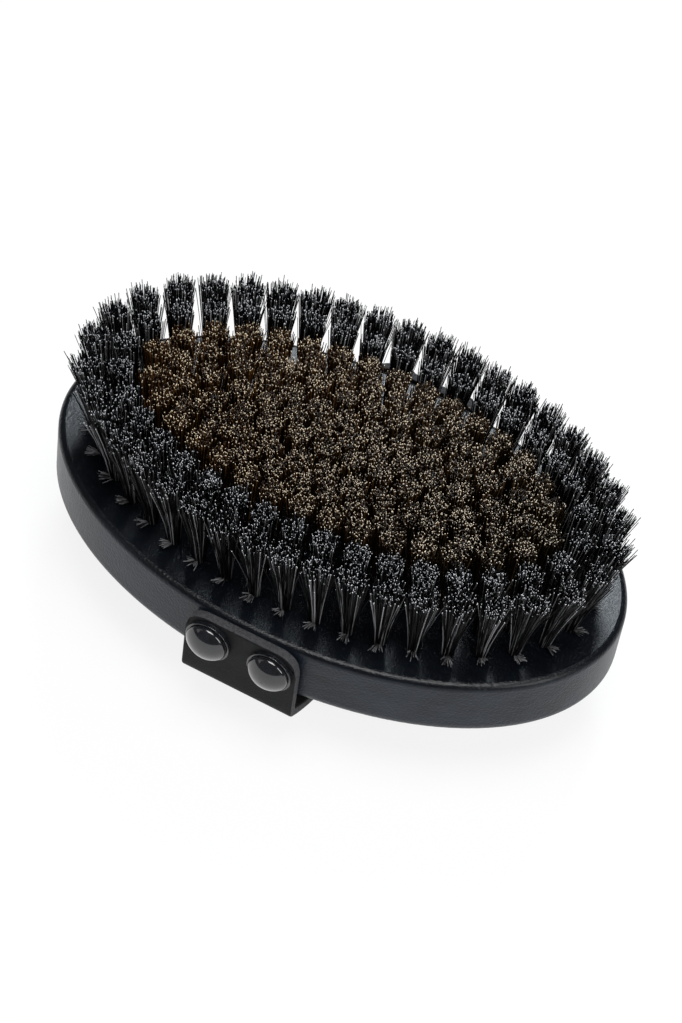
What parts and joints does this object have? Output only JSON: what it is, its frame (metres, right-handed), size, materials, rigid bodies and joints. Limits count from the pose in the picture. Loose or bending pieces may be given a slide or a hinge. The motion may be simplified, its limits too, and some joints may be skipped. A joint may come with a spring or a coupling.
{
  "type": "oval body brush",
  "caption": "Oval wooden body brush with rings of black bristle tufts round a field of bronze wire tufts, held by a leather strap across its back.",
  "frame": {"origin": "centre of the strap's flat underside, on the surface the brush stands on", "axes": "+X along the oval's length, +Y across it to the back end of the strap, +Z along the bristles"},
  "size_m": [0.19, 0.1344, 0.0752],
  "materials": {
    "lacquered_wood": "black lacquer over beech",
    "black_leather": "smooth satin grain, raw cut edge",
    "black_bristle": "bundled fibres with cut tips",
    "bronze_bristle": "bundled fine bronze wire with cut tips",
    "black_enamel": "polished",
    "steel": "zinc plated"
  },
  "bodies": {
    "brush": {"back_left_cap": "black_enamel", "back_left_ring": "black_enamel", "back_left_screw": "steel", "back_right_cap": "black_enamel", "back_right_ring": "black_enamel", "back_right_screw": "steel", "bronze_anchors": "steel", "bronze_ring_back_left": "bronze_bristle", "bronze_ring_back_right": "bronze_bristle", "bronze_ring_front_left": "bronze_bristle", "bronze_ring_front_right": "bronze_bristle", "bronze_tufts_row_1": "bronze_bristle", "bronze_tufts_row_2": "bronze_bristle", "bronze_tufts_row_3": "bronze_bristle", "bronze_tufts_row_4": "bronze_bristle", "bronze_tufts_row_5": "bronze_bristle", "bronze_tufts_row_6": "bronze_bristle", "bronze_tufts_row_7": "bronze_bristle", "brush_back": "lacquered_wood", "front_left_cap": "black_enamel", "front_left_ring": "black_enamel", "front_left_screw": "steel", "front_right_cap": "black_enamel", "front_right_ring": "black_enamel", "front_right_screw": "steel", "inner_anchors": "steel", "inner_tufts_back_left": "black_bristle", "inner_tufts_back_right": "black_bristle", "inner_tufts_front_left": "black_bristle", "inner_tufts_front_right": "black_bristle", "outer_anchors": "steel", "outer_tufts_back_left": "black_bristle", "outer_tufts_back_right": "black_bristle", "outer_tufts_front_left": "black_bristle", "outer_tufts_front_right": "black_bristle"},
    "strap": {"hand_strap": "black_leather"}
  },
  "joints": [
    {"name": "strap_press", "type": "slide", "parent": "brush", "child": "strap", "axis": [0, 0, 1], "range_m": [0, 0.013], "deforming": ["hand_strap"]}
  ]
}
